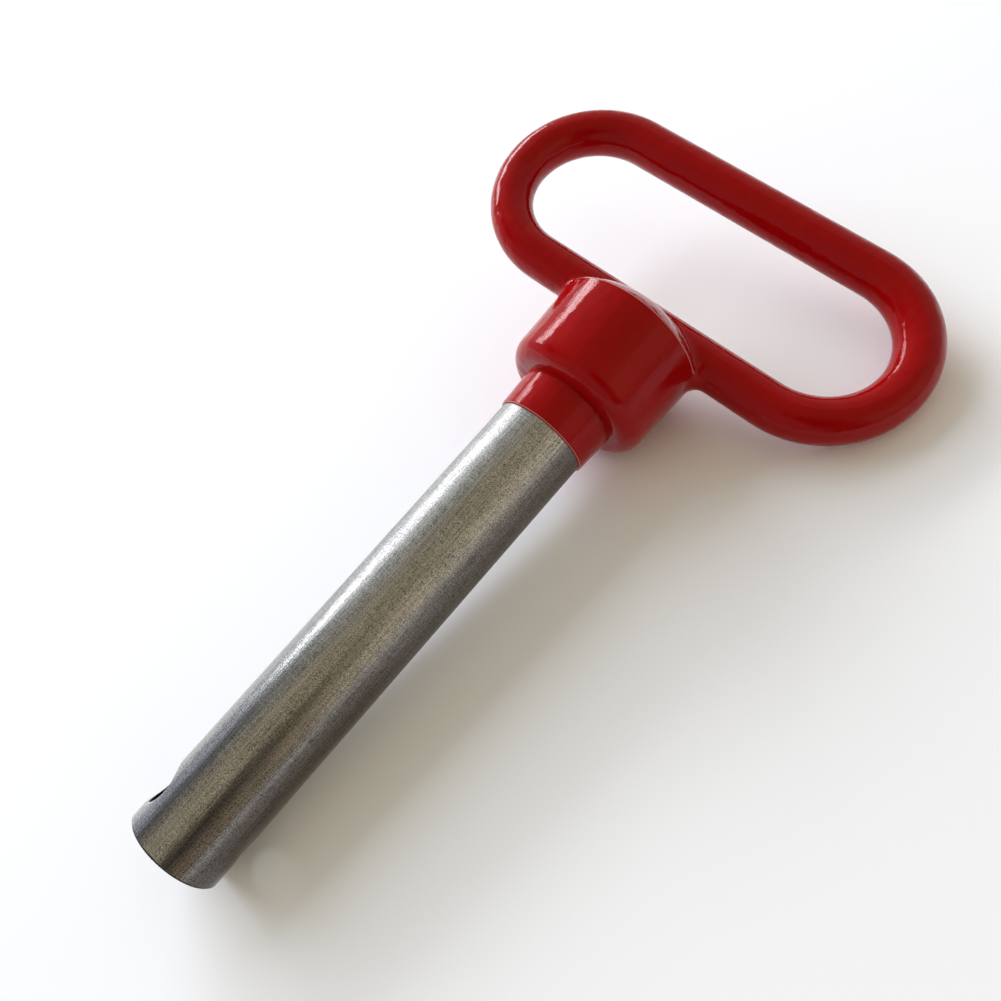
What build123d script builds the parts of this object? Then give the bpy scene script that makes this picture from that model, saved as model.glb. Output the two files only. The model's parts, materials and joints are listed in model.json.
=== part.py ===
from build123d import *
from math import asin, atan2, cos, hypot, radians, sin, sqrt, tan
import os

# Rack latch pin: a plated steel shank, pressed into a cast loop handle with a thick red coat.
# Millimetres. Distances "from the tip" run along the pin, from the shank's free end.
# The pin lies on a flat surface, Z = 0, as it comes to rest: on the lower edge of its tip, on
# its hub and on one end of the loop. X runs from the tip to the handle, and the origin is on
# the surface, under the middle of the whole pin.

# Shank, turned from round bar
shank_diameter = 25.0
shank_reach = 132.0           # from the tip to the handle's mouth
tip_chamfer = 0.5
cross_hole_diameter = 7.0     # a running fit for the retaining pin's rod
cross_hole_from_tip = 10.0
cross_hole_turn = 22.0        # degrees, from the plane of the loop
recess_diameter = 10.0        # the wide mouth of the cross hole, on one side
recess_depth = 6.0
recess_break_width = 1.2      # the softened edge of the recess, across and down
recess_break_depth = 0.5
hole_chamfer = 0.4            # at the other end of the cross hole
spigot_diameter = 20.0        # the stub inside the handle
spigot_length = 27.0
spigot_chamfer = 1.0

# Collar and hub, cast in one piece with the loop
coat_step = 0.6               # the coated mouth stands this far proud of the shank
mouth_chamfer = 0.4
collar_length = 11.0
collar_draft = 3.0            # degrees
hub_diameter = 42.0           # at the rim
hub_length = 24.7             # from the shoulder to the rim
hub_draft = 2.0               # degrees
shoulder_round = 5.0          # or as much as the step has room for
rim_round = 0.8
crown_height = 9.0            # of the domed end over the rim
socket_clearance = 1.0        # air left behind the spigot

# Loop, a round bar bent into a long grip
bar_diameter = 12.2
bar_over_rim = 6.1            # from the rim to the middle of the lower bar
bend_radius = 23.4            # to the middle of the bar
straight_length = 73.2        # of each long side
loop_offset = 2.1             # how far the loop stands off the middle, towards its low end
root_round = 4.0              # where the bar runs into the hub

# Radii, and distances from the tip, that follow
shank_radius = shank_diameter / 2
spigot_radius = spigot_diameter / 2
spigot_end_at = shank_reach + spigot_length
recess_radius = recess_diameter / 2
mouth_radius = shank_radius + coat_step
collar_root_radius = mouth_radius + collar_length * tan(radians(collar_draft))
shoulder_at = shank_reach + collar_length
rim_radius = hub_diameter / 2
shoulder_radius = rim_radius - hub_length * tan(radians(hub_draft))
rim_at = shoulder_at + hub_length
crown_at = rim_at + crown_height
shoulder_bend = min(shoulder_round, shoulder_radius - collar_root_radius)
bar_radius = bar_diameter / 2
lower_bar_at = rim_at + bar_over_rim
loop_centre_at = lower_bar_at + bend_radius
half_straight = straight_length / 2
low_reach = half_straight + loop_offset


def lean_onto(corner_radius, round_radius, at, towards_handle):
    """The pin's lean when it lies on its tip and on one rounded corner of the hub."""
    draft_angle = radians(hub_draft)
    round_at = at - towards_handle * round_radius
    inset = (round_radius + towards_handle * round_radius * sin(draft_angle)) / cos(draft_angle)
    rise = corner_radius - inset - shank_radius
    run = round_at - tip_chamfer
    return atan2(rise, run) + asin(round_radius / hypot(rise, run))


# The lean is set by whichever corner of the hub stands out further
lean = max(
    lean_onto(shoulder_radius, shoulder_bend, shoulder_at, -1),
    lean_onto(rim_radius, rim_round, rim_at, 1),
)
tip_height = shank_radius * cos(lean) - tip_chamfer * sin(lean)

# Then the pin rolls until the low end of its loop touches the surface. The loop's middle line
# falls by low_reach * dip + bend_radius * hypot(dip, sin(lean)) to its lowest point, where dip is
# the fall for each millimetre across the pin. The dip that uses up the height is the lesser root
# of a quadratic, written so that it also holds where low_reach and bend_radius are the same.
height_to_lose = tip_height + loop_centre_at * sin(lean) - bar_radius
spare_square = height_to_lose**2 - (bend_radius * sin(lean)) ** 2
half_term = low_reach * height_to_lose
discriminant = half_term**2 - (low_reach**2 - bend_radius**2) * spare_square
dip = spare_square / (half_term + sqrt(discriminant))
roll = asin(dip / cos(lean))

pin_direction = Vector(cos(lean), 0, sin(lean))
across_direction = Vector(-sin(roll) * sin(lean), cos(roll), dip)
bend_run = bend_radius * hypot(pin_direction.X, across_direction.X)
front_end = loop_centre_at * cos(lean) - low_reach * across_direction.X + bend_run + bar_radius
back_end = -(shank_radius - tip_chamfer) * sin(lean)
tip_centre = Vector(-(front_end + back_end) / 2, loop_offset * across_direction.Y, tip_height)

# Two planes through the pin, from the middle of its tip, with x along the pin. The loop lies
# in one, and the other stands square to it.
pin_axis = Axis(tip_centre, pin_direction)
loop_plane = Plane(tip_centre, x_dir=pin_direction, z_dir=pin_direction.cross(across_direction))
profile_plane = Plane(tip_centre, x_dir=pin_direction, z_dir=-across_direction)


# Shank: a bar with a stub for the handle and a cross hole for the retaining pin
with BuildPart() as shank:
    with BuildSketch(profile_plane):
        with BuildLine():
            Polyline(
                (0, 0),
                (0, shank_radius - tip_chamfer),
                (tip_chamfer, shank_radius),
                (shank_reach, shank_radius),
                (shank_reach, spigot_radius),
                (spigot_end_at - spigot_chamfer, spigot_radius),
                (spigot_end_at, spigot_radius - spigot_chamfer),
                (spigot_end_at, 0),
                close=True,
            )
        make_face()
    revolve(axis=pin_axis)

    hole_direction = loop_plane.y_dir.rotate(pin_axis, cross_hole_turn)
    hole_centre = tip_centre + pin_direction * cross_hole_from_tip
    hole_mouth = Plane(
        hole_centre + hole_direction * shank_radius, x_dir=pin_direction, z_dir=hole_direction
    )
    with Locations(hole_mouth):
        CounterBoreHole(cross_hole_diameter / 2, recess_radius, recess_depth, 2 * shank_diameter)
    openings = shank.edges(Select.LAST).filter_by(GeomType.BSPLINE)
    recess_edge, *_, exit_edge = openings.sort_by_distance(hole_mouth.origin)
    outside = shank.faces().filter_by(GeomType.CYLINDER).sort_by(SortBy.AREA)[-1]
    chamfer(recess_edge, recess_break_width, recess_break_depth, reference=outside)
    chamfer(exit_edge, hole_chamfer)
shank.part.label = "shank"

# Handle: collar, hub and loop in one casting, with a blind socket for the shank's stub
with BuildPart() as handle:
    mouth = (shank_reach, mouth_radius)
    shoulder = (shoulder_at, shoulder_radius)
    rim = (rim_at, rim_radius)
    with BuildSketch(profile_plane) as hub_profile:
        with BuildLine():
            Polyline(
                (crown_at, 0),
                (shank_reach, 0),
                mouth,
                (shoulder_at, collar_root_radius),
                shoulder,
                rim,
            )
            TangentArc((crown_at, 0), rim, tangent=(0, 1))
        make_face()
        chamfer(hub_profile.vertices().sort_by_distance(mouth)[0], mouth_chamfer)
        fillet(hub_profile.vertices().sort_by_distance(shoulder)[0], shoulder_bend)
        fillet(hub_profile.vertices().sort_by_distance(rim)[0], rim_round)
    revolve(axis=pin_axis)

    # The loop starts in the middle of its lower bar and goes round by its high end
    with BuildLine(loop_plane) as loop_line:
        start = Line((lower_bar_at, -loop_offset), (lower_bar_at, straight_length - low_reach))
        high_bend = JernArc(start @ 1, start % 1, bend_radius, -180)
        upper_side = Line(high_bend @ 1, high_bend @ 1 - (0, straight_length))
        low_bend = JernArc(upper_side @ 1, upper_side % 1, bend_radius, -180)
        Line(low_bend @ 1, start @ 0)
    with BuildSketch(Plane(start @ 0, z_dir=across_direction)):
        Circle(bar_radius)
    sweep(path=loop_line.wire())

    # The lower bar runs into the hub with a round all along the join, over the domed end and
    # the rim and down the sides. The join's edges are the only new ones that are free curves.
    fillet(handle.edges(Select.LAST).filter_by(GeomType.BSPLINE), root_round)

    with BuildSketch(Plane(pin_direction * shank_reach + tip_centre, z_dir=pin_direction)):
        Circle(spigot_radius)
    extrude(amount=spigot_length + socket_clearance, mode=Mode.SUBTRACT)
handle.part.label = "handle"


os.makedirs("parts", exist_ok=True)
export_step(shank.part, "parts/shank.step")
export_step(handle.part, "parts/handle.step")
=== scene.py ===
"""Dresses the rack latch pin: a zinc plated steel shank in a cast handle with a glossy red coat.

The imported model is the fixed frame. Both of its pieces keep their meshes, which already have the
true form, and get finishes here. The stage is a plain pale floor under soft studio light.
Lengths are metres unless a name says otherwise, and angles are degrees.
"""

from __future__ import annotations

import json
import logging
import math
from dataclasses import dataclass, field
from enum import Enum
from typing import Any

import bpy
import numpy as np
from mathutils import Matrix, Vector


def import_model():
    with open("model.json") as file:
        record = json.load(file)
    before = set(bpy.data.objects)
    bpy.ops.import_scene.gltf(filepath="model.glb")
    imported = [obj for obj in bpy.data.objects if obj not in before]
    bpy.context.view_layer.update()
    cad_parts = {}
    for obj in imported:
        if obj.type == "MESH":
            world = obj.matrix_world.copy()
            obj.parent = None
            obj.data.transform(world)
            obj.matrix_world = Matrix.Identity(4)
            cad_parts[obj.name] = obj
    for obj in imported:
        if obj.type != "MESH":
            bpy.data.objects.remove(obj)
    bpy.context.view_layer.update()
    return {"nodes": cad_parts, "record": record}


MM = 0.001

# The cross hole and the tip, as the shank has them.
HOLE_TURN = 22.0
HOLE_FROM_TIP_MM = 10.0
TIP_CHAMFER_MM = 0.5

# Settings that several nodes share.
SMOOTH = {"interpolation_type": "SMOOTHSTEP"}
MULTIPLY = {"operation": "MULTIPLY"}
DOT = {"operation": "DOT_PRODUCT"}
LESS = {"operation": "SUBTRACT", "use_clamp": True}
COLOUR = {"data_type": "RGBA"}

Tree = bpy.types.NodeTree
Node = bpy.types.Node
Source = bpy.types.Node | bpy.types.NodeSocket

log = logging.getLogger("latch_pin")


def linear(hex_colour: str) -> tuple[float, float, float, float]:
    """Turns an sRGB hex colour into linear RGBA.

    Args:
        hex_colour: six hex digits, with or without a leading hash.

    Returns:
        Linear red, green and blue, and an alpha of 1.
    """
    digits = hex_colour.lstrip("#")
    srgb = np.array([int(digits[i : i + 2], 16) for i in (0, 2, 4)]) / 255
    rgb = np.where(srgb <= 0.04045, srgb / 12.92, ((srgb + 0.055) / 1.055) ** 2.4)
    return (float(rgb[0]), float(rgb[1]), float(rgb[2]), 1.0)


def add_node(
    tree: Tree, kind: str, *values: Any, settings: dict[str, Any] | None = None, **named: Any
) -> Node:
    """Adds a node, sets its properties, and sets or links its inputs.

    Only live sockets count, which are those that the node's own settings leave in use. A node
    given as a value stands for its first live output.

    Args:
        tree: the node tree to add to.
        kind: the node's type name, after ShaderNode.
        *values: values, nodes or output sockets for the first inputs, in order.
        settings: properties of the node itself.
        **named: values, nodes or output sockets by input name, with _ for a space.

    Returns:
        The new node.
    """
    node = tree.nodes.new(f"ShaderNode{kind}")
    for name, value in (settings or {}).items():
        setattr(node, name, value)
    live = [socket for socket in node.inputs if socket.enabled]
    by_name = {socket.name: socket for socket in live}
    pairs = list(zip(live, values))
    pairs += [(by_name[name.replace("_", " ")], value) for name, value in named.items()]
    for socket, value in pairs:
        if isinstance(value, bpy.types.Node):
            value = next(output for output in value.outputs if output.enabled)
        if isinstance(value, bpy.types.NodeSocket):
            tree.links.new(value, socket)
        else:
            socket.default_value = value
    return node


@dataclass(frozen=True)
class PinFrame:
    """The pin's own directions, with its origin in the middle of the shank's tip.

    Attributes:
        tip: the middle of the shank's free end.
        along: from the tip towards the handle.
        across: along the loop's straight sides, towards the end that stands up.
    """

    tip: Vector
    along: Vector
    across: Vector

    @classmethod
    def from_record(cls, record: dict[str, Any]) -> PinFrame:
        """Reads the frame from the record's two mounts.

        The shank's mount ends where the tip's chamfer starts, and the cross hole's axis is
        turned from the loop's plane, so both are taken back from there.

        Args:
            record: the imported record.

        Returns:
            The pin's frame.
        """
        mounts = {mount["name"]: mount for mount in record["mounts"]}
        shank, hole = mounts["shank"], mounts["cross_hole"]
        towards_tip = Vector(shank["axis"]).normalized()
        reach = (shank["dims"]["length_mm"] / 2 + TIP_CHAMFER_MM) * MM
        tip = Vector(shank["pos_m"]) + towards_tip * reach
        unturn = Matrix.Rotation(math.radians(-HOLE_TURN), 3, -towards_tip)
        return cls(tip, -towards_tip, unturn @ Vector(hole["axis"]).normalized())

    @property
    def normal(self) -> Vector:
        """Square to the loop's plane, on its upper side."""
        return self.along.cross(self.across)

    def direction(self, across: float, normal: float, along: float) -> Vector:
        """Turns a direction in the pin's frame into one in the scene."""
        return self.across * across + self.normal * normal + self.along * along

    def point(self, across: float, normal: float, along: float) -> Vector:
        """Turns a point in the pin's frame into one in the scene."""
        return self.tip + self.direction(across, normal, along)

    def ring_direction(self, azimuth: float, slope: float) -> Vector:
        """A direction out from the pin's axis.

        Args:
            azimuth: turn about the axis, from the normal towards across.
            slope: lean out of the ring, towards the handle.

        Returns:
            A unit vector in the scene.
        """
        turn, lean = math.radians(azimuth), math.radians(slope)
        ring = math.cos(lean)
        return self.direction(ring * math.sin(turn), ring * math.cos(turn), math.sin(lean))


@dataclass(frozen=True)
class Pattern:
    """Noise of a real size, which may be longer along the pin than across it.

    Attributes:
        across_mm: its size across the pin.
        along_mm: its size along the pin.
        octaves: how many times finer noise is laid over it.
        height_mm: the height in the surface that its range of 0 to 1 stands for.
        weight: how strongly it darkens the surface.
    """

    across_mm: float
    along_mm: float
    octaves: float
    height_mm: float = 0.0
    weight: float = 0.0

    def add(self, tree: Tree, place: Source) -> Node:
        """Adds the noise, which lies round a middle of 0.5.

        Args:
            tree: the material's node tree.
            place: coordinates in the pin's frame.

        Returns:
            The noise.
        """
        sizes_mm = (self.across_mm, self.across_mm, self.along_mm)
        scale = tuple(1 / (size * MM) for size in sizes_mm)
        scaled = add_node(tree, "Mapping", Vector=place, Scale=scale)
        return add_node(tree, "TexNoise", Vector=scaled, Scale=1.0, Detail=self.octaves)


@dataclass(frozen=True)
class Limit:
    """A limit on a distance, with a soft edge.

    Attributes:
        at_mm: the limit.
        soft_mm: half the width of the change at it.
    """

    at_mm: float
    soft_mm: float

    def below(self, tree: Tree, distance: Source) -> Node:
        """A mask that is 1 where a distance is under the limit and 0 where it is over.

        Args:
            tree: the material's node tree.
            distance: the distance, in metres.

        Returns:
            The mask.
        """
        over, under = self.at_mm + self.soft_mm, self.at_mm - self.soft_mm
        return add_node(tree, "MapRange", distance, over * MM, under * MM, settings=SMOOTH)


@dataclass(frozen=True)
class EdgeBand:
    """A band round the pin, between two distances from the tip and two from the axis.

    Attributes:
        start_mm: where it starts along the pin.
        end_mm: where it ends along the pin.
        inner_mm: its inner radius.
        outer_mm: its outer radius.
        soft_along_mm: half the width of its soft edge along the pin.
        soft_radius_mm: half the width of its soft edge outwards.
    """

    start_mm: float
    end_mm: float
    inner_mm: float
    outer_mm: float
    soft_along_mm: float = 0.05
    soft_radius_mm: float = 0.04

    def mask(self, tree: Tree, radius: Source, along: Source) -> Node:
        """A mask that is 1 in the band and 0 elsewhere.

        Args:
            tree: the material's node tree.
            radius: distance from the pin's axis.
            along: distance along it from the tip.

        Returns:
            The mask.
        """
        spans = (
            (along, self.start_mm, self.end_mm, self.soft_along_mm),
            (radius, self.inner_mm, self.outer_mm, self.soft_radius_mm),
        )
        inside = [
            add_node(
                tree,
                "Math",
                Limit(high, soft).below(tree, distance),
                Limit(low, soft).below(tree, distance),
                settings=LESS,
            )
            for distance, low, high, soft in spans
        ]
        return add_node(tree, "Math", *inside, settings=MULTIPLY)


def place_in_pin(tree: Tree, pin: PinFrame) -> Node:
    """Object coordinates turned into the pin's frame.

    Args:
        tree: the material's node tree.
        pin: the pin's frame.

    Returns:
        Across, normal and along, in metres from the middle of the tip.
    """
    turn = Matrix((pin.across, pin.normal, pin.along))
    return add_node(
        tree,
        "Mapping",
        Vector=add_node(tree, "TexCoord").outputs["Object"],
        Location=-(turn @ pin.tip),
        Rotation=turn.to_euler("XYZ"),
    )


def square_to_axis(tree: Tree, place: Source) -> Node:
    """The part of a place that is square to the pin's axis.

    Args:
        tree: the material's node tree.
        place: coordinates in the pin's frame.

    Returns:
        The same coordinates with nothing along the pin.
    """
    return add_node(tree, "VectorMath", place, (1.0, 1.0, 0.0), settings=MULTIPLY)


def from_axis(tree: Tree, place: Source) -> tuple[Node, Node]:
    """Distance from the pin's axis, and distance along it from the tip.

    Args:
        tree: the material's node tree.
        place: coordinates in the pin's frame.

    Returns:
        The two distances, in metres.
    """
    ring = square_to_axis(tree, place)
    radius = add_node(tree, "VectorMath", ring, settings={"operation": "LENGTH"})
    along = add_node(tree, "VectorMath", place, (0.0, 0.0, 1.0), settings=DOT)
    return radius, along


def bumps(tree: Tree, layers: dict[Pattern, Node]) -> Node:
    """Stacks the bump of each pattern that has a height.

    Args:
        tree: the material's node tree.
        layers: each pattern and its noise.

    Returns:
        The last bump, whose output is the normal.
    """
    under: dict[str, Node] = {}
    for pattern, noise in layers.items():
        if pattern.height_mm:
            distance = pattern.height_mm * MM
            bump = add_node(
                tree, "Bump", Strength=1.0, Distance=distance, Height=noise, **under
            )
            under = {"Normal": bump}
    return under["Normal"]


def new_material(name: str) -> tuple[bpy.types.Material, Tree]:
    """Makes a material with an empty node tree.

    Args:
        name: the material's name.

    Returns:
        The material and its tree.
    """
    material = bpy.data.materials.new(name)
    material.use_nodes = True
    material.node_tree.nodes.clear()
    return material, material.node_tree


@dataclass(frozen=True)
class RedCoat:
    """Thick gloss red powder coat, baked on a casting.

    It levels into a smooth, faintly rippled skin with slow sags along the pin, so the eye sees
    crisp edges on each reflection with a slight waver, over a deep even red. On the sharp edge
    of the mouth, and on the hub's rim, a highlight is painted into the colour as a thin pale line.

    Attributes:
        name: the material's name.
        red: the coat's colour.
        deep_red: its colour where it lies thickest.
        highlight_red: the colour of the thin pale highlight painted on the mouth's edge and the
            hub's rim.
        roughness: gloss powder coat has about 0.05 to 0.1.
        specular_level: strength of the reflection.
        specular_tint: the reflection's colour.
        drift: slow change between the two reds.
        sags: runs along the pin, where the coat slid before it set.
        ripple: the wide waver of a thick coat.
        peel: its fine orange peel.
        highlight_edges: the bands of painted highlight, on the mouth's edge and the hub's rim.
    """

    name: str = "red_powder_coat"
    red: str = "#a00608"
    deep_red: str = "#8e0507"
    # Colour of the highlight painted on the mouth's edge and the hub's rim.
    highlight_red: str = "#c88480"
    roughness: float = 0.07
    specular_level: float = 0.24
    specular_tint: str = "#ffc4c4"
    drift: Pattern = Pattern(across_mm=14.0, along_mm=14.0, octaves=3.0)
    sags: Pattern = Pattern(across_mm=3.0, along_mm=21.0, octaves=1.0, height_mm=0.14)
    ripple: Pattern = Pattern(across_mm=5.0, along_mm=5.0, octaves=1.0, height_mm=0.2)
    peel: Pattern = Pattern(across_mm=0.9, along_mm=0.9, octaves=2.0, height_mm=0.04)
    # Bands of painted highlight: the mouth's edge, and the hub's rim.
    highlight_edges: tuple[EdgeBand, ...] = (
        EdgeBand(start_mm=131.9, end_mm=132.3, inner_mm=12.86, outer_mm=13.4),
        EdgeBand(start_mm=167.52, end_mm=167.8, inner_mm=20.5, outer_mm=21.25),
    )

    def build(self, pin: PinFrame) -> bpy.types.Material:
        """Makes the material.

        Args:
            pin: the pin's frame, along which the coat sags.

        Returns:
            The material.
        """
        material, tree = new_material(self.name)
        place = place_in_pin(tree, pin)
        reds = (linear(self.red), linear(self.deep_red))
        even = add_node(tree, "Mix", self.drift.add(tree, place), *reds, settings=COLOUR)
        # Painted highlight: a thin pale line on the mouth's edge and the hub's rim.
        is_highlight = self._painted_highlight(tree, place)
        raised = (self.sags, self.ripple, self.peel)
        shader = add_node(
            tree,
            "BsdfPrincipled",
            Base_Color=add_node(
                tree, "Mix", is_highlight, even, linear(self.highlight_red), settings=COLOUR
            ),
            Roughness=self.roughness,
            Specular_IOR_Level=self.specular_level,
            Specular_Tint=linear(self.specular_tint),
            Normal=bumps(tree, {pattern: pattern.add(tree, place) for pattern in raised}),
        )
        add_node(tree, "OutputMaterial", Surface=shader)
        return material

    def _painted_highlight(self, tree: Tree, place: Source) -> Any:
        """A mask of the edges where a thin pale highlight is painted.

        Args:
            tree: the material's node tree.
            place: coordinates in the pin's frame.

        Returns:
            1 on the mouth round the shank and on the hub's rim, and 0 elsewhere.
        """
        radius, along = from_axis(tree, place)
        either = {"operation": "ADD", "use_clamp": True}
        total: Any = 0.0
        for band in self.highlight_edges:
            edge = band.mask(tree, radius, along)
            total = add_node(tree, "Math", total, edge, settings=either)
        return total


@dataclass(frozen=True)
class ZincPlate:
    """Dull zinc plate on cold drawn steel bar.

    Drawing leaves a fine grain along the bar and turning leaves faint rings, so reflections keep
    their place round the bar but are soft and finely broken. Sliding through rack holes has
    polished the end near the tip, where they are crisper. Shade is painted into the colour as a
    dark brownish tint along one side of the bar, and as near black inside the cross hole and on
    the edge of the tip.

    Real drawing lines, turning marks and crystals are finer than the eye makes out from here,
    so the three are drawn as coarse as they need to be to show.

    Attributes:
        name: the material's name.
        pale: the plate's colour.
        dark: its colour in grain lines, rings and specks.
        shade_black: the colour of the painted shade in the cross hole and on the tip's edge.
        roughness: the plate's, between specks and on them. Dull zinc has about 0.35 to 0.5.
        rough_specks: the range of the specks over which the roughness changes.
        worn_share: share of that roughness that is left where the bar is polished.
        worn_mm: from where to where along the bar the polish fades out.
        shaded_roughness: the roughness where that near black shade is painted.
        cloud: slow change of tone.
        grain: drawing lines along the bar.
        rings: turning marks round the bar.
        specks: crystals of the plate.
        tone_start: what the patterns' weighted sum starts from.
        side_shade: the colour that the side with painted shade is multiplied by.
        side_shade_azimuth: the middle of the side with painted shade.
        side_shade_half_widths: how far from there the painted shade ends, and how far it is full.
        side_shade_far: the painted shade's strength towards the handle.
        side_shade_near: up to where, from the tip, the painted shade is full.
        end_face: the radius up to which the tip's end face is left without painted shade.
        hole_shade: the distance from the cross hole's axis within which shade is painted.
        hole_inside: the radius up to which shade is painted on the cross hole's wall.
        edge_height: the distance from the tip over which shade is painted on its edge.
        edge_inside: the radius from which that shade is painted.
    """

    name: str = "zinc_plated_steel"
    pale: str = "#d2d0cc"
    dark: str = "#5c5a58"
    # Colour of the shade painted in the cross hole and on the tip's edge.
    shade_black: str = "#1b1a19"
    roughness: tuple[float, float] = (0.37, 0.47)
    rough_specks: tuple[float, float] = (0.35, 0.65)
    worn_share: float = 0.52
    worn_mm: tuple[float, float] = (30.0, 95.0)
    # Roughness where that shade is painted.
    shaded_roughness: float = 0.7
    cloud: Pattern = Pattern(across_mm=9.0, along_mm=27.0, octaves=3.0, weight=0.06)
    grain: Pattern = Pattern(
        across_mm=0.42, along_mm=10.92, octaves=3.0, height_mm=0.025, weight=0.85
    )
    rings: Pattern = Pattern(
        across_mm=5.778, along_mm=0.26, octaves=2.0, height_mm=0.007, weight=0.55
    )
    specks: Pattern = Pattern(
        across_mm=0.26, along_mm=0.26, octaves=2.0, height_mm=0.016, weight=2.3
    )
    tone_start: float = -1.38
    # Tint of the shade painted along one side of the bar, and where it lies.
    side_shade: str = "#9d9593"
    side_shade_azimuth: float = -80.0
    side_shade_half_widths: tuple[float, float] = (40.0, 26.0)
    side_shade_far: float = 0.83
    side_shade_near: Limit = Limit(at_mm=62.0, soft_mm=12.0)
    end_face: Limit = Limit(at_mm=11.9, soft_mm=0.2)
    # Where shade is painted in the cross hole and on the tip's edge.
    hole_shade: Limit = Limit(at_mm=5.1, soft_mm=0.06)
    hole_inside: Limit = Limit(at_mm=12.2, soft_mm=0.15)
    edge_height: Limit = Limit(at_mm=0.55, soft_mm=0.12)
    edge_inside: Limit = Limit(at_mm=11.8, soft_mm=0.2)

    def build(self, pin: PinFrame) -> bpy.types.Material:
        """Makes the material.

        Args:
            pin: the pin's frame, which gives the grain its direction.

        Returns:
            The material.
        """
        material, tree = new_material(self.name)
        place = place_in_pin(tree, pin)
        patterns = (self.cloud, self.grain, self.rings, self.specks)
        layers = {pattern: pattern.add(tree, place) for pattern in patterns}
        # Painted shade, near black, in the cross hole and on the tip's edge.
        is_shaded = self._painted_black_shade(tree, place)
        colours = (self._plated(tree, place, layers), linear(self.shade_black))
        shader = add_node(
            tree,
            "BsdfPrincipled",
            Base_Color=add_node(tree, "Mix", is_shaded, *colours, settings=COLOUR),
            Metallic=1.0,
            Roughness=self._roughness(tree, place, layers[self.specks], is_shaded),
            Normal=bumps(tree, layers),
        )
        add_node(tree, "OutputMaterial", Surface=shader)
        return material

    def _plated(self, tree: Tree, place: Source, layers: dict[Pattern, Node]) -> Node:
        """The plate's colour: two tones by the weighted sum of the patterns, and the painted side
        shade.

        Args:
            tree: the material's node tree.
            place: coordinates in the pin's frame.
            layers: each pattern and its noise.

        Returns:
            The colour.
        """
        total: Any = self.tone_start
        add_weighted = {"operation": "MULTIPLY_ADD"}
        for pattern, noise in layers.items():
            total = add_node(tree, "Math", noise, pattern.weight, total, settings=add_weighted)
        share = add_node(tree, "Clamp", total)
        tones = (linear(self.pale), linear(self.dark))
        # Painted shade: one side of the bar is multiplied by a dark brownish tint.
        return add_node(
            tree,
            "Mix",
            self._painted_side_shade(tree, place),
            add_node(tree, "Mix", share, *tones, settings=COLOUR),
            linear(self.side_shade),
            settings=COLOUR | {"blend_type": "MULTIPLY"},
        )

    def _roughness(self, tree: Tree, place: Source, specks: Node, is_shaded: Node) -> Node:
        """The roughness: patchy on the plate, lower where it is worn, and even where near black
        shade is painted.

        Args:
            tree: the material's node tree.
            place: coordinates in the pin's frame.
            specks: the noise of the specks.
            is_shaded: the mask of the painted near black shade.

        Returns:
            The roughness.
        """
        along = from_axis(tree, place)[1]
        start, end = (part * MM for part in self.worn_mm)
        patchy = add_node(tree, "MapRange", specks, *self.rough_specks, *self.roughness)
        worn = add_node(
            tree, "MapRange", along, start, end, self.worn_share, 1.0, settings=SMOOTH
        )
        polished = add_node(tree, "Math", patchy, worn, settings=MULTIPLY)
        return add_node(tree, "Mix", is_shaded, polished, self.shaded_roughness)

    def _painted_side_shade(self, tree: Tree, place: Source) -> Node:
        """A mask of the side of the bar where a dark brownish shade is painted.

        A place is on that side when the cosine of its turn from the side's middle, which is the
        dot product of the two directions, is over the cosine of the side's half width.

        Args:
            tree: the material's node tree.
            place: coordinates in the pin's frame.

        Returns:
            1 where the painted shade is full, and 0 off that side and on the tip's end face.
        """
        turn = math.radians(self.side_shade_azimuth)
        middle = (math.sin(turn), math.cos(turn), 0.0)
        outwards = add_node(
            tree, "VectorMath", square_to_axis(tree, place), settings={"operation": "NORMALIZE"}
        )
        facing = add_node(tree, "VectorMath", outwards, middle, settings=DOT)
        cosines = (math.cos(math.radians(width)) for width in self.side_shade_half_widths)
        side = add_node(tree, "MapRange", facing, *cosines, settings=SMOOTH)
        radius, along = from_axis(tree, place)
        near = self.side_shade_near.below(tree, along)
        depth = add_node(tree, "MapRange", near, To_Min=self.side_shade_far, To_Max=1.0)
        strength = add_node(tree, "Math", side, depth, settings=MULTIPLY)
        on_face = self.end_face.below(tree, radius)
        return add_node(tree, "Math", strength, on_face, settings=LESS)

    def _painted_black_shade(self, tree: Tree, place: Source) -> Node:
        """A mask of the near black shade painted in the cross hole and on the tip's edge.

        The distance from the cross hole's axis is the length of the cross product of the axis
        with a line from the hole's middle to the place.

        Args:
            tree: the material's node tree.
            place: coordinates in the pin's frame.

        Returns:
            1 where the shade is painted, inside the cross hole and on the edge of the tip, and 0
            elsewhere.
        """
        turn = math.radians(HOLE_TURN)
        axis = (math.cos(turn), math.sin(turn), 0.0)
        middle = (0.0, 0.0, HOLE_FROM_TIP_MM * MM)
        line = add_node(tree, "VectorMath", place, middle, settings={"operation": "SUBTRACT"})
        moment = add_node(
            tree, "VectorMath", line, axis, settings={"operation": "CROSS_PRODUCT"}
        )
        distance = add_node(tree, "VectorMath", moment, settings={"operation": "LENGTH"})
        radius, along = from_axis(tree, place)
        # Shade is painted inside the cross hole and on the tip's outer edge.
        near_hole = self.hole_shade.below(tree, distance)
        inside = self.hole_inside.below(tree, radius)
        in_hole = add_node(tree, "Math", near_hole, inside, settings=MULTIPLY)
        near_tip = self.edge_height.below(tree, along)
        outer = add_node(
            tree, "Math", 1.0, self.edge_inside.below(tree, radius), settings=LESS
        )
        on_edge = add_node(tree, "Math", near_tip, outer, settings=MULTIPLY)
        return add_node(tree, "Math", in_hole, on_edge, settings={"operation": "MAXIMUM"})


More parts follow.
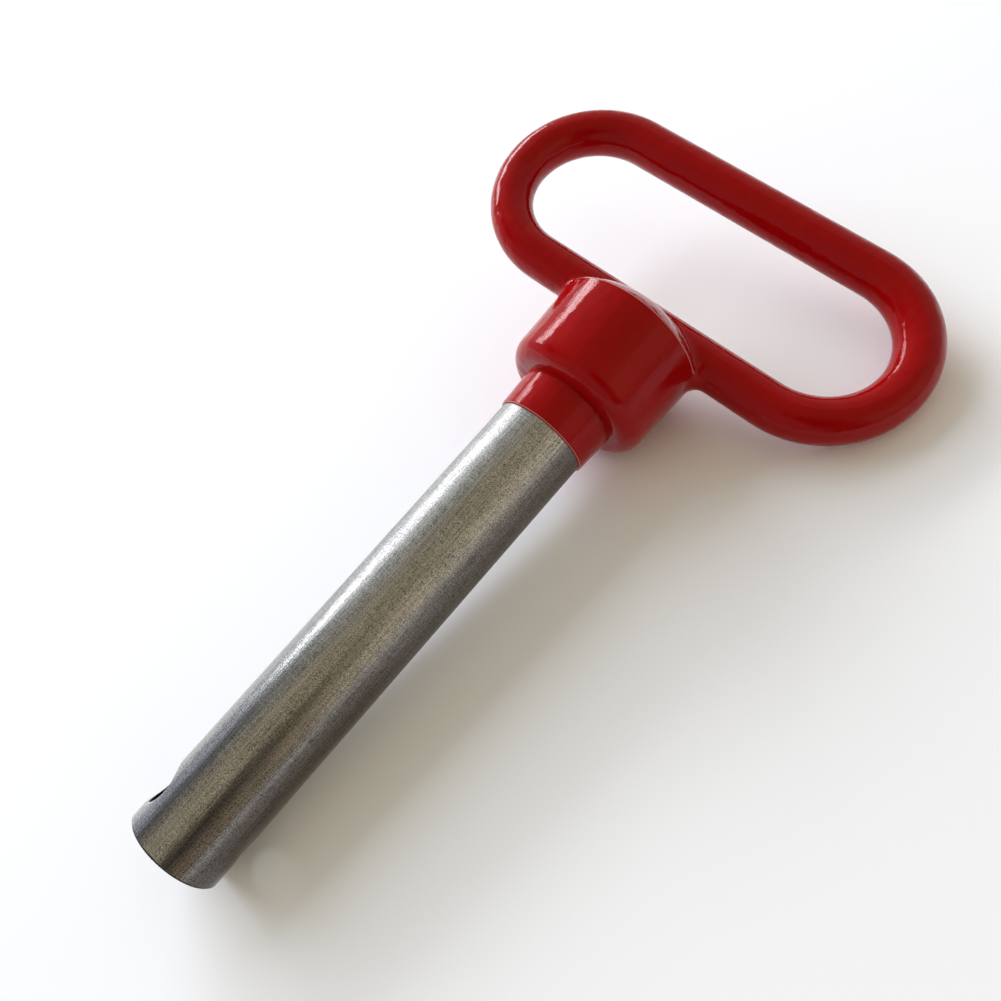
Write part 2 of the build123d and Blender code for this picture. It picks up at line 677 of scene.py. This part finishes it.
@dataclass(frozen=True)
class FloorPaint:
    """Dead matt white studio paint, which shows a soft shadow and no reflection."""

    name: str = "pale_floor"
    colour: str = "#ffffff"

    def build(self) -> bpy.types.Material:
        """Makes the material.

        Returns:
            The material.
        """
        material, tree = new_material(self.name)
        shader = add_node(
            tree,
            "BsdfPrincipled",
            Base_Color=linear(self.colour),
            Roughness=1.0,
            Specular_IOR_Level=0.0,
        )
        add_node(tree, "OutputMaterial", Surface=shader)
        return material


class Piece(Enum):
    """The nodes of the frame that make up the pin."""

    HANDLE = "handle"
    SHANK = "shank"


@dataclass
class LatchPin:
    """The pin itself: two pieces of the frame and their finishes."""

    pin: PinFrame
    nodes: dict[str, bpy.types.Object]
    coat: RedCoat = field(default_factory=RedCoat)
    plate: ZincPlate = field(default_factory=ZincPlate)

    def dress(self) -> dict[Piece, bpy.types.Material]:
        """Gives each piece its material.

        Returns:
            Each piece's material.
        """
        finishes = {
            Piece.HANDLE: self.coat.build(self.pin),
            Piece.SHANK: self.plate.build(self.pin),
        }
        for piece, material in finishes.items():
            for slot in self.nodes[piece.value].material_slots:
                slot.material = material
        return finishes


@dataclass(frozen=True)
class Camera:
    """A camera that looks down on the pin from beside its loop.

    Attributes:
        eye: where it stands in the pin's frame, in mm.
        target: the point that its optical axis meets, in the same frame.
        upright: the direction that stands upright in its picture, in the same frame.
        lens_mm: focal length.
        sensor_mm: width of the sensor.
        shift: how far the lens is shifted sideways and up, as shares of the sensor's width.
        clip: the nearest and farthest distances that it sees.
    """

    eye: tuple[float, float, float] = (-62.5, 189.1, 75.0)
    target: tuple[float, float, float] = (-3.5, 0.0, 105.2)
    upright: tuple[float, float, float] = (0.597, 0.305, 0.742)
    lens_mm: float = 28.77
    sensor_mm: float = 36.0
    shift: tuple[float, float] = (0.0185, 0.0225)
    clip: tuple[float, float] = (0.01, 20.0)

    def build(self, pin: PinFrame) -> bpy.types.Object:
        """Makes the camera and gives it to the scene.

        Args:
            pin: the pin's frame.

        Returns:
            The camera object.
        """
        data = bpy.data.cameras.new("camera")
        data.lens = self.lens_mm
        data.sensor_width = self.sensor_mm
        data.shift_x, data.shift_y = self.shift
        data.clip_start, data.clip_end = self.clip
        camera = bpy.data.objects.new("camera", data)
        bpy.context.scene.collection.objects.link(camera)
        eye, target = (
            pin.point(*(part * MM for part in place)) for place in (self.eye, self.target)
        )
        back = (eye - target).normalized()
        right = pin.direction(*self.upright).cross(back).normalized()
        axes = Matrix((right, back.cross(right), back)).transposed()
        camera.matrix_world = Matrix.Translation(eye) @ axes.to_4x4()
        bpy.context.scene.camera = camera
        return camera


@dataclass(frozen=True)
class Panel:
    """A soft rectangular lamp that faces the pin.

    Attributes:
        name: the lamp's name.
        azimuth: where it stands about the pin's axis.
        slope: how far it leans out of the ring, towards the handle.
        distance: from the point that it faces.
        width: its size along the pin.
        height: its size round the pin.
        radiance: how bright its face is.
        colour: the colour of its light.
        seen: whether it shows in reflections.
    """

    name: str
    azimuth: float
    slope: float
    distance: float
    width: float
    height: float
    radiance: float
    colour: str
    seen: bool

    def build(self, pin: PinFrame, aim: Vector) -> None:
        """Makes the lamp. Its power is its radiance times its area times pi.

        Args:
            pin: the pin's frame.
            aim: the point that it faces.
        """
        data = bpy.data.lights.new(self.name, "AREA")
        data.shape = "RECTANGLE"
        data.size, data.size_y = self.width, self.height
        data.energy = self.radiance * self.width * self.height * math.pi
        data.color = linear(self.colour)[:3]
        lamp = bpy.data.objects.new(self.name, data)
        lamp.visible_glossy = self.seen
        bpy.context.scene.collection.objects.link(lamp)
        out = pin.ring_direction(self.azimuth, self.slope)
        side = (pin.along - out * pin.along.dot(out)).normalized()
        axes = Matrix((side, out.cross(side), out)).transposed()
        lamp.matrix_world = Matrix.Translation(aim + out * self.distance) @ axes.to_4x4()


@dataclass(frozen=True)
class Surroundings:
    """The studio round the pin, as tones by azimuth about the pin's axis.

    Each stop is an azimuth and a tone. One ring of tones stands towards the handle and the other
    towards the tip, where the studio is dimmer, and they blend between two slopes.

    Attributes:
        handle_end: the tones that face the handle's end.
        tip_end: the tones that face the tip's end.
        slopes: the slopes, in degrees, at which the tip's and the handle's tones are reached.
        plain: the even tone in front of the tip and behind the handle.
        plain_slopes: how far from the ring, in degrees, the tones start to turn plain, and where
            they have.
        strength: radiance of a white tone.
    """

    handle_end: tuple[tuple[float, str], ...] = (
        (-120.0, "#a0a4aa"),
        (-76.0, "#b0aea6"),
        (-62.0, "#f0e4c8"),
        (-44.0, "#fbecce"),
        (-30.0, "#cabc9c"),
        (-14.0, "#b4a98b"),
        (10.0, "#b4ac92"),
        (34.0, "#b4b2a7"),
        (56.0, "#c6cacc"),
        (90.0, "#dcdfe4"),
        (130.0, "#c8ccd4"),
    )
    tip_end: tuple[tuple[float, str], ...] = (
        (-120.0, "#8c9096"),
        (-74.0, "#675b4d"),
        (-54.0, "#8e7c66"),
        (-40.0, "#5a4f44"),
        (-28.0, "#1c1917"),
        (-18.0, "#4a453d"),
        (-6.0, "#b4a994"),
        (20.0, "#bdb49c"),
        (44.0, "#9c9689"),
        (62.0, "#54565c"),
        (84.0, "#c2c8d8"),
        (130.0, "#c8ccd4"),
    )
    slopes: tuple[float, float] = (-16.0, 4.0)
    plain: str = "#c6c4be"
    plain_slopes: tuple[float, float] = (28.0, 46.0)
    strength: float = 1.0

    def build(self, pin: PinFrame) -> None:
        """Makes the world.

        The azimuth is the arctangent of a direction's parts across and normal, and the sine of
        its slope is its part along the pin.

        Args:
            pin: the pin's frame.
        """
        world = bpy.data.worlds.new("studio")
        bpy.context.scene.world = world
        world.use_nodes = True
        tree = world.node_tree
        tree.nodes.clear()
        outward = add_node(tree, "TexCoord").outputs["Generated"]
        across, normal, along = (
            add_node(tree, "VectorMath", outward, tuple(axis), settings=DOT)
            for axis in (pin.across, pin.normal, pin.along)
        )
        azimuth = add_node(tree, "Math", across, normal, settings={"operation": "ARCTAN2"})
        turn = add_node(tree, "MapRange", azimuth, -math.pi, math.pi)
        to_handle = self._between(tree, along, self.slopes)
        rings = (self._ring(tree, turn, stops) for stops in (self.tip_end, self.handle_end))
        tone = add_node(tree, "Mix", to_handle, *rings, settings=COLOUR)
        off_ring = add_node(tree, "Math", along, settings={"operation": "ABSOLUTE"})
        to_end = self._between(tree, off_ring, self.plain_slopes)
        plain = add_node(tree, "Mix", to_end, tone, linear(self.plain), settings=COLOUR)
        background = add_node(tree, "Background", Color=plain, Strength=self.strength)
        add_node(tree, "OutputWorld", Surface=background)

    @staticmethod
    def _between(tree: Tree, sine: Source, slopes: tuple[float, float]) -> Node:
        """A soft change from 0 at one slope to 1 at another.

        Args:
            tree: the world's node tree.
            sine: the sine of the slope.
            slopes: the two slopes.

        Returns:
            The share.
        """
        sines = (math.sin(math.radians(slope)) for slope in slopes)
        return add_node(tree, "MapRange", sine, *sines, settings=SMOOTH)

    @staticmethod
    def _ring(tree: Tree, turn: Source, stops: tuple[tuple[float, str], ...]) -> Node:
        """A ring of tones about the pin's axis.

        Args:
            tree: the world's node tree.
            turn: the azimuth, as a share of the way from -180 to 180 degrees.
            stops: each azimuth and its tone, in order.

        Returns:
            The tone.
        """
        node = add_node(tree, "ValToRGB", Fac=turn)
        ramp = node.color_ramp
        ramp.interpolation = "EASE"
        while len(ramp.elements) < len(stops):
            ramp.elements.new(0.5)
        for element, (azimuth, tone) in zip(ramp.elements, stops):
            element.position = (azimuth + 180) / 360
            element.color = linear(tone)
        return node


@dataclass
class Studio:
    """Floor, lamps and surroundings.

    Attributes:
        pin: the pin's frame.
        floor_half: half the floor's width.
        aim_mm: distance from the tip of the point on the pin's axis that the lamps face.
        paint: the floor's finish.
        surroundings: the world round the pin.
        lamps: the key light's bright core and its softer rim, and the fill light.
    """

    pin: PinFrame
    floor_half: float = 4.0
    aim_mm: float = 120.0
    paint: FloorPaint = field(default_factory=FloorPaint)
    surroundings: Surroundings = field(default_factory=Surroundings)
    lamps: tuple[Panel, ...] = (
        Panel(
            name="key_core",
            azimuth=82.0,
            slope=16.0,
            distance=1.8,
            width=1.56,
            height=0.22,
            radiance=8.0,
            colour="#f3f8ff",
            seen=True,
        ),
        Panel(
            name="key_wide",
            azimuth=83.0,
            slope=16.0,
            distance=1.84,
            width=1.60,
            height=0.44,
            radiance=4.1,
            colour="#f3f8ff",
            seen=True,
        ),
        Panel(
            name="fill",
            azimuth=76.0,
            slope=0.0,
            distance=2.4,
            width=2.4,
            height=2.0,
            radiance=4.0,
            colour="#e4ecff",
            seen=False,
        ),
    )

    def build(self) -> None:
        """Makes the floor, the lamps and the world."""
        self._floor()
        aim = self.pin.point(0, 0, self.aim_mm * MM)
        for lamp in self.lamps:
            lamp.build(self.pin, aim)
        self.surroundings.build(self.pin)

    def _floor(self) -> None:
        """A flat floor at the height of the surface that the pin lies on."""
        half = self.floor_half
        mesh = bpy.data.meshes.new("floor")
        corners = [(-half, -half, 0), (half, -half, 0), (half, half, 0), (-half, half, 0)]
        mesh.from_pydata(corners, [], [(0, 1, 2, 3)])
        floor = bpy.data.objects.new("floor", mesh)
        bpy.context.scene.collection.objects.link(floor)
        mesh.materials.append(self.paint.build())


def main() -> None:
    """Builds everything in order and reports each piece."""
    logging.basicConfig(level=logging.INFO, format="%(name)s: %(message)s")
    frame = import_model()
    bpy.context.scene.view_settings.view_transform = "Standard"
    pin = PinFrame.from_record(frame["record"])
    camera = Camera().build(pin)
    log.info("%s looks down on the pin", camera.name)
    for piece, material in LatchPin(pin, frame["nodes"]).dress().items():
        log.info("%s wears %s", piece.value, material.name)
    studio = Studio(pin)
    studio.build()
    log.info("studio has a floor and %d lamps", len(studio.lamps))


if __name__ == "__main__":
    main()
